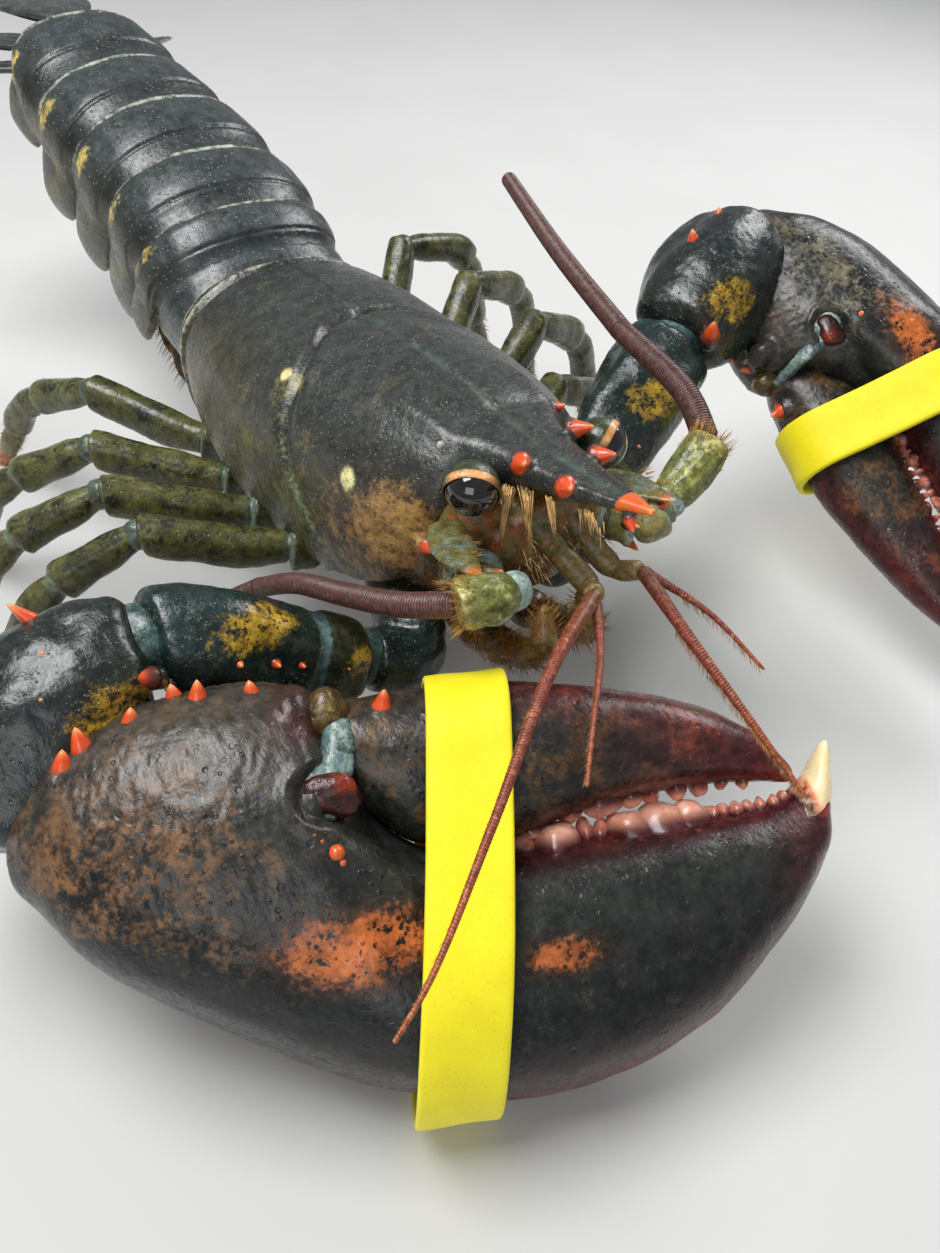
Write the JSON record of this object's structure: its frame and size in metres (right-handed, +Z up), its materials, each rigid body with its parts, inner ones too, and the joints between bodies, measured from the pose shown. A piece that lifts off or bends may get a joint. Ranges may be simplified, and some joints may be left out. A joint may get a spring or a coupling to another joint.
{
  "type": "american lobster, life-size display model",
  "caption": "Dark American lobster at rest on legs and banded crusher claw, cutter claw raised, tail spread behind, in life size.",
  "frame": {"origin": "on the floor, in the middle of the box that the lobster covers", "axes": "+Z up; the lobster faces -Y with its tail toward +Y; +X is its left side"},
  "size_m": [0.3158, 0.3624, 0.1091],
  "materials": {
    "back_shell": "dark slate shell, wet gloss, finely grained",
    "tail_shell": "slate blue-grey shell, wet gloss",
    "claw_shell": "near-black shell mottled with orange and maroon, wet gloss",
    "leg_shell": "olive shell with dark mottling",
    "head_shell": "olive and tan shell of the head front and underside",
    "feeler_shell": "red-brown ringed feelers",
    "eye_gloss": "black, mirror-bright",
    "band_rubber": "yellow, matte"
  },
  "bodies": {
    "root": {"abdomen_1": "tail_shell", "abdomen_2": "tail_shell", "abdomen_3": "tail_shell", "abdomen_4": "tail_shell", "abdomen_5": "tail_shell", "abdomen_6": "tail_shell", "antenna_far_left": "feeler_shell", "antenna_far_right": "feeler_shell", "antenna_near_left": "feeler_shell", "antenna_near_right": "feeler_shell", "antenna_peduncle_left": "head_shell", "antenna_peduncle_right": "head_shell", "antennal_scale_left": "head_shell", "antennal_scale_right": "head_shell", "antennule_left": "feeler_shell", "antennule_right": "feeler_shell", "carapace": "back_shell", "claw_band_left": "band_rubber", "claw_band_right": "band_rubber", "claw_carpus_left": "claw_shell", "claw_carpus_right": "claw_shell", "claw_finger_left": "claw_shell", "claw_finger_right": "claw_shell", "claw_merus_left": "claw_shell", "claw_merus_right": "claw_shell", "claw_palm_left": "claw_shell", "claw_palm_right": "claw_shell", "claw_root_left": "claw_shell", "claw_root_right": "claw_shell", "eye_left": "eye_gloss", "eye_right": "eye_gloss", "eyestalk_left": "head_shell", "eyestalk_right": "head_shell", "head_front": "head_shell", "leg_1_lower_left": "leg_shell", "leg_1_lower_right": "leg_shell", "leg_1_upper_left": "leg_shell", "leg_1_upper_right": "leg_shell", "leg_2_lower_left": "leg_shell", "leg_2_lower_right": "leg_shell", "leg_2_upper_left": "leg_shell", "leg_2_upper_right": "leg_shell", "leg_3_lower_left": "leg_shell", "leg_3_lower_right": "leg_shell", "leg_3_upper_left": "leg_shell", "leg_3_upper_right": "leg_shell", "leg_4_lower_left": "leg_shell", "leg_4_lower_right": "leg_shell", "leg_4_upper_left": "leg_shell", "leg_4_upper_right": "leg_shell", "maxilliped_left": "head_shell", "maxilliped_right": "head_shell", "telson": "tail_shell", "thorax_underside": "head_shell", "uropod_inner_left": "tail_shell", "uropod_inner_right": "tail_shell", "uropod_outer_left": "tail_shell", "uropod_outer_right": "tail_shell"}
  },
  "joints": []
}
